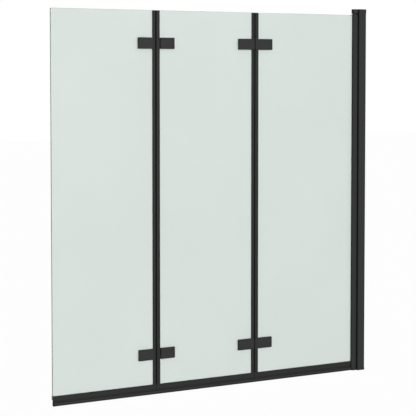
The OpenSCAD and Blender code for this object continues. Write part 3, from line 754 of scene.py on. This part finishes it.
class BATHSCREEN_OT_wall_profile(Operator):
    """Makes the visible wall profile with its two screw ports, and the soft fin on its front web"""

    bl_idname = "bath_screen.wall_profile"
    bl_label = "Wall Profile"

    def execute(self, context):
        sizes = context.scene.bath_screen_sizes
        low, high = extent("outer_wall_profile")
        wall, corner = sizes.profile_wall, sizes.profile_corner
        edge, inner_corner, end = 0.3 * MM, 0.5 * MM, 0.12 * MM
        web, inner_low = low[0] + wall, low[1] + wall
        port_x = -sizes.port_x
        reach = math.degrees(math.acos((port_x - web) / sizes.port_radius))
        lower = rounded(
            angled("y", (low[0], 0), low[1], high[0], inner_low, web, 0),
            [0, corner, edge, edge, inner_corner, 0]
        )[1:-1]
        sides = (-sizes.port_y, sizes.port_y)
        ports = [arc((port_x, y), sizes.port_radius, -180 + reach, 180 - reach, 24) for y in sides]
        outline = np.concatenate((lower, *ports, lower[::-1] * (1, -1)))
        bores = [circle((port_x, y), sizes.port_bore, 24, hole=True) for y in sides]
        surface = Surface().sweep(soft_ends(low[2], high[2], end), outline, *bores)
        surface.piece("wall_profile", "outer_wall_profile", "coat")

        low, high = extent("nose_seal")
        strip, fin = 0.4 * MM, sizes.fin / 2
        base = high[0] - strip
        outline = rounded(
            angled("x", (low[0], -fin), base, low[1], high[0], high[1], base, fin, low[0]),
            [edge, CREASE, SOFT, 0, 0, SOFT, CREASE, edge]
        )
        surface = Surface().sweep(soft_ends(low[2], high[2], CREASE), outline)
        surface.piece("soft_fin", "nose_seal", "upright_seal")
        return {"FINISHED"}


class BATHSCREEN_OT_ends(Operator):
    """Makes the cap and the foot: a block and a round tongue with soft outer edges and two screw recesses"""

    bl_idname = "bath_screen.ends"
    bl_label = "Cap And Foot"

    def execute(self, context):
        sizes = context.scene.bath_screen_sizes
        overhang, inner_corner, corner = 0.4 * MM, 1 * MM, sizes.cap_corner
        recess, depth, bevel = 3.5 * MM, 2 * MM, 0.25 * MM
        for node, name, up in (("top_cap", "end_cap", 1), ("foot", "end_foot", -1)):
            low, high = extent(node)
            block, half = extent("outer_wall_profile")[0][0] - overhang, high[1]
            outline = rounded(
                angled("x", (PIVOT_X, -NOSE_R), block, -half, high[0], half, block, NOSE_R, PIVOT_X),
                [0, inner_corner, corner, 0, 0, corner, inner_corner, 0]
            )
            outline = np.concatenate((arc((PIVOT_X, 0), NOSE_R, 90, 270, 28), outline[1:-1]))
            bottom, top = upright(low, high, up)
            pit = [(top - depth, recess), (top - bevel, recess), (top, recess + bevel)]
            pits = [turned(pit, (-sizes.port_x, y), 36, hole=True) for y in (-sizes.port_y, sizes.port_y)]
            stack = rings(outline, soft_ends(bottom, top, CUT, sizes.cap_edge, 5))
            # The face that lies on the wall stays flat
            stack[:, outline[:, 0] > high[0] - APART / 2, 0] = high[0]
            surface = Surface().place("z", (1, 1, up)).solid(stack, pits=pits)
            surface.piece(name, node, "moulded")
        return {"FINISHED"}


def add_screw(surface, profile, centre, socket, depth):
    """A turned screw whose high end has a six-sided socket with a small round lead-in.

    The lead-in's radius is the socket's, at its corners, times the flare.
    """
    top, lead_in, flare = profile[-1][0], 0.2 * MM, 1.16
    pit = [(top - depth, socket), (top - lead_in, socket), (top, socket * flare)]
    surface.solid(turned(profile, centre), pits=[turned(pit, centre, hole=True, six_sided=[1, 1, 0])])


class BATHSCREEN_OT_frame_screws(Operator):
    """Makes the lock screws with domed heads and the flat-headed screws of the cap and the foot"""

    bl_idname = "bath_screen.frame_screws"
    bl_label = "Frame Screws"

    def execute(self, context):
        sizes = context.scene.bath_screen_sizes
        low, high = extent("lock_screws")
        face, tip, head = -low[1], -high[1], (high[0] - low[0]) / 2
        rise, thread, edge, chamfer, fullness = 1.4 * MM, 1.9 * MM, 1.1 * MM, 0.3 * MM, 0.9
        dome = np.linspace(0, np.pi / 2, 7)
        heights, radii = face - rise + rise * np.sin(dome) ** fullness, head - edge * (1 - np.cos(dome))
        profile = [
            (tip, thread - chamfer), (tip + chamfer, thread), (face - rise, thread), *zip(heights, radii)
        ]
        surface = Surface().place("y", (1, -1, 1))
        for z in (low[2] + head, high[2] - head):
            add_screw(surface, profile, (z, (low[0] + high[0]) / 2), socket=0.95 * MM, depth=0.85 * MM)
        surface.piece("side_screws", "lock_screws", "black_steel")

        low, high = extent("cap_screws")
        surface = Surface()
        thread, head, under = 1.8 * MM, 3.2 * MM, 2 * MM
        for up, end, reach in ((1, high[2], 31 * MM), (-1, -low[2], 24 * MM)):
            profile = [
                (end - reach, thread - chamfer), (end - reach + chamfer, thread), (end - under, thread),
                (end - under, head - SOFT), (end - under + SOFT, head), (end - chamfer, head),
                (end, head - chamfer)
            ]
            surface.place("z", (1, 1, up))
            for y in (-sizes.port_y, sizes.port_y):
                add_screw(surface, profile, (-sizes.port_x, y), socket=1.26 * MM, depth=1 * MM)
        surface.piece("end_screws", "cap_screws", "black_steel")
        return {"FINISHED"}


class BATHSCREEN_OT_pivots(Operator):
    """Makes the two pivot pins with chamfered ends and the two flanged bushes in which the leaf turns"""

    bl_idname = "bath_screen.pivots"
    bl_label = "Pivot Pins And Bushes"

    def execute(self, context):
        sizes = context.scene.bath_screen_sizes
        profile_low, profile_high = extent("pivot_profile")
        for level, up in (("upper", 1), ("lower", -1)):
            low, high = extent(f"{level}_pivot_pin")
            radius, chamfer = (high[0] - low[0]) / 2, 0.5 * MM
            surface = Surface().place("z", at=(PIVOT_X, 0, 0))
            surface.solid(turned(drum(low[2], high[2], radius, chamfer)))
            surface.piece(f"{level}_axle", f"{level}_pivot_pin", "steel")

            low, high = extent(f"{level}_pivot_bush")
            bottom, top = upright(low, high, up)
            under = top - (high[2] - profile_high[2] if up > 0 else profile_low[2] - low[2])
            sleeve, rim, bore = sizes.bush_radius - FIT, sizes.collar_radius, radius + FIT
            chamfer, bevel = 0.4 * MM, 0.3 * MM
            outer = turned([
                (bottom, sleeve - chamfer), (bottom + chamfer, sleeve), (under, sleeve),
                (under, rim - SOFT), (under + SOFT, rim), (top - chamfer, rim), (top, rim - chamfer)
            ])
            hole = turned(drum(bottom, top, bore, bevel, 1), hole=True)
            surface = Surface().place("z", (1, 1, up), (PIVOT_X, 0, 0)).solid(outer, [hole])
            surface.piece(f"{level}_bush", f"{level}_pivot_bush", "moulded")
        return {"FINISHED"}


def plate_slab(surface, sizes, start, depth, headed):
    """A hinge plate's slab: round corners, soft outer edges and, where headed, countersunk screw holes.

    Its heights run outwards from the glass: the stack starts at the given depth and ends at the outer face.
    """
    outline = rectangle((-HINGE_HALF, start), (HINGE_HALF, PLATE_END), sizes.plate_corner, 5)
    path = soft_ends(depth, PLATE_OUT, CUT, sizes.plate_edge, 5)
    head, thread, rim = sizes.screw_head + FIT, sizes.screw_radius + FIT, 0.12 * MM
    sink = [
        (depth, thread), (PLATE_OUT - head + thread, thread), (PLATE_OUT - rim, head), (PLATE_OUT, head + rim)
    ]
    holes = [turned(sink, (0, u), hole=True) for u in screw_places(sizes)] if headed else []
    surface.solid(rings(outline, path), holes)


def add_knuckle(surface, sizes, start, low, high):
    """A knuckle and the web that joins it to its plate.

    The outline goes round the axis on the knuckle's radius and runs out onto the plate's face on a small arc,
    whose centre is both radii away from the axis. The web ends inside the plate, whose start is given.
    """
    sunk, blend, overlap, soft = 0.01 * MM, 0.8 * MM, 3 * MM, 0.35 * MM
    face, inside = PLATE_OUT - sunk, start + overlap
    rise = face + blend - AXIS_DEPTH
    run = math.sqrt((KNUCKLE_R + blend) ** 2 - rise ** 2)
    lift = math.degrees(math.atan2(rise, run))
    web = np.array([(inside, AXIS_DEPTH - KNUCKLE_R), (inside, face)])
    hollow = arc((run, face + blend), blend, 270, 180 + lift, 5)
    barrel = arc((0, AXIS_DEPTH), KNUCKLE_R, lift, 270, 32)
    outline = np.concatenate((web, hollow, barrel[1:]))
    bore = circle((0, AXIS_DEPTH), sizes.pin_bore, 24, hole=True)
    bore = rings(bore, soft_ends(low, high, CUT, steps=2))
    surface.solid(rings(outline, soft_ends(low, high, soft, steps=3)), [bore])


class BATHSCREEN_OT_knuckle_plates(Operator):
    """Makes the eight hinge plates: a slab, a step that sits on the rubber, and knuckles with their webs"""

    bl_idname = "bath_screen.knuckle_plates"
    bl_label = "Knuckle Plates"

    def execute(self, context):
        sizes = context.scene.bath_screen_sizes
        over_seal, overlap, edge, gap = SEAL_HALF + 0.3 * MM, 0.3 * MM, 0.3 * MM, 0.6 * MM
        # A slab keeps a gap from the other half's knuckle
        start = 2 * KNUCKLE_R - KNUCKLE_REACH + gap
        spans = {
            "pin": [(-HINGE_HALF, -sizes.knuckle_outer), (sizes.knuckle_outer, HINGE_HALF)],
            "swing": [(-sizes.knuckle_middle, sizes.knuckle_middle)],
        }
        step = rectangle(
            (APART - HINGE_HALF, PLATE_START), (HINGE_HALF - APART, PLATE_END - APART),
            [edge, edge, sizes.plate_corner, sizes.plate_corner]
        )
        step_path = [(PLATE_IN, CREASE), (PLATE_IN + CREASE, 0), (over_seal + overlap, 0)]
        for joint, face_side in KNUCKLE_SIDE.items():
            for level, z in HINGE_Z.items():
                for side, part in ((1, "pin"), (-1, "swing")):
                    where = (side, face_side, 1), (JOINT_X[joint], 0, z)
                    surface = Surface().place("y", *where)
                    plate_slab(surface, sizes, start, over_seal, face_side > 0)
                    surface.sweep(step_path, step).place("z", *where)
                    for low, high in spans[part]:
                        add_knuckle(surface, sizes, start, low, high)
                    name = f"{joint}_{level}_{part}_hinge_plate"
                    surface.piece(name, f"{joint}_joint_{level}_{part}_plate", "coat")
        return {"FINISHED"}


class BATHSCREEN_OT_clamp_plates(Operator):
    """Makes the eight clamp plates, on the side of the glass away from the knuckles"""

    bl_idname = "bath_screen.clamp_plates"
    bl_label = "Clamp Plates"

    def execute(self, context):
        sizes = context.scene.bath_screen_sizes
        for (joint, side), (leaf, end) in LEAF_ENDS.items():
            surface, face_side = Surface(), -KNUCKLE_SIDE[joint]
            for z in HINGE_Z.values():
                surface.place("y", (side, face_side, 1), (JOINT_X[joint], 0, z))
                plate_slab(surface, sizes, PLATE_START, PLATE_IN, face_side > 0)
            surface.piece(f"{leaf}_leaf_backing_plates{end}", f"{leaf}_leaf_clamp_plates{end}", "coat")
        return {"FINISHED"}


class BATHSCREEN_OT_hinge_pins(Operator):
    """Makes the hinge pins with domed ends and the washers between the knuckles"""

    bl_idname = "bath_screen.hinge_pins"
    bl_label = "Hinge Pins And Washers"

    def execute(self, context):
        sizes = context.scene.bath_screen_sizes
        short, dome_height, dome_width = 0.3 * MM, 0.6 * MM, 0.8 * MM
        half = HINGE_HALF - short
        dome = np.linspace(0, np.pi / 2, 5)
        end = np.column_stack((
            half - dome_height * (1 - np.sin(dome)), sizes.pin_radius - dome_width * (1 - np.cos(dome))
        ))
        pin = np.concatenate((end[::-1] * (-1, 1), end))
        thick, bevel, radius, gap = 0.6 * MM, 0.05 * MM, 3.7 * MM, 0.1 * MM
        washer = drum(0, thick, radius, bevel)
        bore = [(height, sizes.pin_bore) for height, _ in washer]
        for joint, face_side in KNUCKLE_SIDE.items():
            pins, washers = Surface(), Surface()
            for z in HINGE_Z.values():
                pins.place("z", at=(JOINT_X[joint], face_side * AXIS_DEPTH, z)).solid(turned(pin, steps=24))
                for up in (-1, 1):
                    rise = z + up * (sizes.knuckle_middle + gap)
                    washers.place("z", (1, 1, up), (JOINT_X[joint], face_side * AXIS_DEPTH, rise))
                    washers.solid(turned(washer, steps=24), [turned(bore, steps=24, hole=True)])
            pins.piece(f"{joint}_hinge_pins", f"{joint}_joint_pins", "steel")
            washers.piece(f"{joint}_hinge_washers", f"{joint}_joint_washers", "moulded")
        return {"FINISHED"}


class BATHSCREEN_OT_hinge_screws(Operator):
    """Makes the sixteen hinge screws: countersunk heads with six-sided sockets, all at the rear"""

    bl_idname = "bath_screen.hinge_screws"
    bl_label = "Hinge Screws"

    def execute(self, context):
        sizes = context.scene.bath_screen_sizes
        head, thread, tip, chamfer = sizes.screw_head, sizes.screw_radius, -sizes.screw_tip, 0.4 * MM
        # The head's rim, as depths under the plate's face and insets from the head's radius
        rim = [(0.12 * MM, 0.06 * MM), (0.03 * MM, 0.08 * MM), (0, 0.16 * MM)]
        profile = [(tip, thread - chamfer), (tip + chamfer, thread), (PLATE_OUT - head + thread, thread)]
        profile += [(PLATE_OUT - depth, head - inset) for depth, inset in rim]
        for leaf in LEAVES:
            surface = Surface()
            for joint, side in hinge_ends(leaf):
                for z in HINGE_Z.values():
                    surface.place("y", (side, 1, 1), (JOINT_X[joint], 0, z))
                    for u in screw_places(sizes):
                        add_screw(surface, profile, (0, u), sizes.socket, depth=1.8 * MM)
            surface.piece(f"{leaf}_leaf_hinge_screws", f"{leaf}_leaf_screws", "black_steel")
        return {"FINISHED"}


class BATHSCREEN_OT_hidden_parts(Operator):
    """Gives finishes to the solids that stay as they are: the wall channel, the pads and the screw sleeves"""

    bl_idname = "bath_screen.hidden_parts"
    bl_label = "Hidden Parts"

    def execute(self, context):
        finishes = {"wall_channel": "aluminium"}
        for leaf in LEAVES:
            finishes |= {f"{leaf}_leaf_pads": "rubber", f"{leaf}_leaf_sleeves": "nylon"}
        for node, key in finishes.items():
            for slot in frame["nodes"][node].material_slots:
                slot.material = finish_of(key)
        return {"FINISHED"}


# ---- Stage ----

def seen_backdrop(nodes):
    """1 for the rays by which the camera sees the backdrop, straight or through glass, and 0 for others."""
    rays = nodes.add("ShaderNodeLightPath").outputs
    both = {0: rays["Is Camera Ray"], 1: rays["Is Transmission Ray"]}
    return nodes.add("ShaderNodeMath", both, operation="MAXIMUM").outputs[0]


class BATHSCREEN_OT_stage(Operator):
    """Makes the pale floor, the white surroundings, two soft suns and the camera"""

    bl_idname = "bath_screen.stage"
    bl_label = "Stage"

    def execute(self, context):
        scene, stage = context.scene, context.scene.bath_screen_stage

        half, z = 30, stage.floor_height
        mesh = bpy.data.meshes.new("floor")
        corners = [(-half, -half, z), (half, -half, z), (half, half, z), (-half, half, z)]
        mesh.from_pydata(corners, [], [(0, 1, 2, 3)])
        floor = bpy.data.objects.new("floor", mesh)
        scene.collection.objects.link(floor)
        material = bpy.data.materials.new("Pale floor")
        material.use_nodes = True
        mesh.materials.append(material)
        nodes = Nodes(material.node_tree)
        nodes.tree.nodes.clear()
        share = {0: seen_backdrop(nodes), 1: stage.floor_lift}
        lift = nodes.add("ShaderNodeMath", share, operation="MULTIPLY")
        glow = nodes.add("ShaderNodeEmission", {"Strength": lift.outputs[0]})
        matt = nodes.add("ShaderNodeBsdfDiffuse", {"Color": (*scene.bath_screen_colours.floor, 1)})
        both = nodes.add("ShaderNodeAddShader", {0: matt.outputs[0], 1: glow.outputs[0]})
        nodes.add("ShaderNodeOutputMaterial", {"Surface": both.outputs[0]})

        scene.world = bpy.data.worlds.new("White surroundings")
        scene.world.use_nodes = True
        nodes = Nodes(scene.world.node_tree)
        levels = {"Value": seen_backdrop(nodes), "To Min": stage.world_level, "To Max": 1.0}
        level = nodes.add("ShaderNodeMapRange", levels).outputs["Result"]
        nodes.fill(nodes.tree.nodes["Background"], {"Color": (1, 1, 1, 1), "Strength": level})

        # Each sun's spread, its tilt up from straight down and its turn round the upright, in degrees
        for name, level, spread, tilt, turn in (
            ("key", stage.key_level, 12, 83, 8),
            ("fill", stage.fill_level, 40, 55, 160),
        ):
            lamp = bpy.data.lights.new(name, "SUN")
            lamp.energy, lamp.angle = level, math.radians(spread)
            sun = bpy.data.objects.new(name, lamp)
            sun.rotation_euler = (math.radians(tilt), 0, math.radians(turn))
            scene.collection.objects.link(sun)

        data = bpy.data.cameras.new("camera")
        data.lens, data.shift_y = stage.lens, stage.shift
        data.clip_start, data.clip_end = 0.1, 200.0
        scene.camera = bpy.data.objects.new("camera", data)
        scene.camera.location = stage.camera_place
        scene.camera.rotation_euler = (math.pi / 2 - stage.camera_dip, 0, -stage.camera_turn)
        scene.collection.objects.link(scene.camera)
        scene.view_settings.view_transform = "Standard"
        return {"FINISHED"}


STEPS = (
    BATHSCREEN_OT_stage,
    BATHSCREEN_OT_panes,
    BATHSCREEN_OT_edge_seals,
    BATHSCREEN_OT_bottom_seals,
    BATHSCREEN_OT_pivot_profile,
    BATHSCREEN_OT_wall_profile,
    BATHSCREEN_OT_ends,
    BATHSCREEN_OT_frame_screws,
    BATHSCREEN_OT_pivots,
    BATHSCREEN_OT_knuckle_plates,
    BATHSCREEN_OT_clamp_plates,
    BATHSCREEN_OT_hinge_pins,
    BATHSCREEN_OT_hinge_screws,
    BATHSCREEN_OT_hidden_parts,
)


class BATHSCREEN_PT_panel(Panel):
    """Lists the screen's settings and steps in the sidebar"""

    bl_idname = "BATHSCREEN_PT_panel"
    bl_label = "Bath Screen"
    bl_space_type = "VIEW_3D"
    bl_region_type = "UI"
    bl_category = "Bath Screen"

    def draw(self, context):
        for step in STEPS:
            self.layout.operator(step.bl_idname)
        for key in SETTINGS:
            group, box = getattr(context.scene, key), self.layout.box()
            for name in group.__annotations__:
                box.prop(group, name)


SETTINGS = {
    "bath_screen_sizes": BathScreenSizes,
    "bath_screen_colours": BathScreenColours,
    "bath_screen_stage": BathScreenStage,
}
CLASSES = (*SETTINGS.values(), *STEPS, BATHSCREEN_PT_panel)


def register():
    """Registers the classes and puts the settings on the scene."""
    for cls in CLASSES:
        bpy.utils.register_class(cls)
    for key, group in SETTINGS.items():
        setattr(bpy.types.Scene, key, PointerProperty(type=group))


def unregister():
    """Takes the settings off the scene and unregisters the classes."""
    for key in SETTINGS:
        delattr(bpy.types.Scene, key)
    for cls in reversed(CLASSES):
        bpy.utils.unregister_class(cls)


def main():
    """Runs the steps in order."""
    register()
    for step in STEPS:
        getattr(bpy.ops.bath_screen, step.bl_idname.split(".")[1])()
    bpy.context.view_layer.update()


if __name__ == "__main__":
    main()
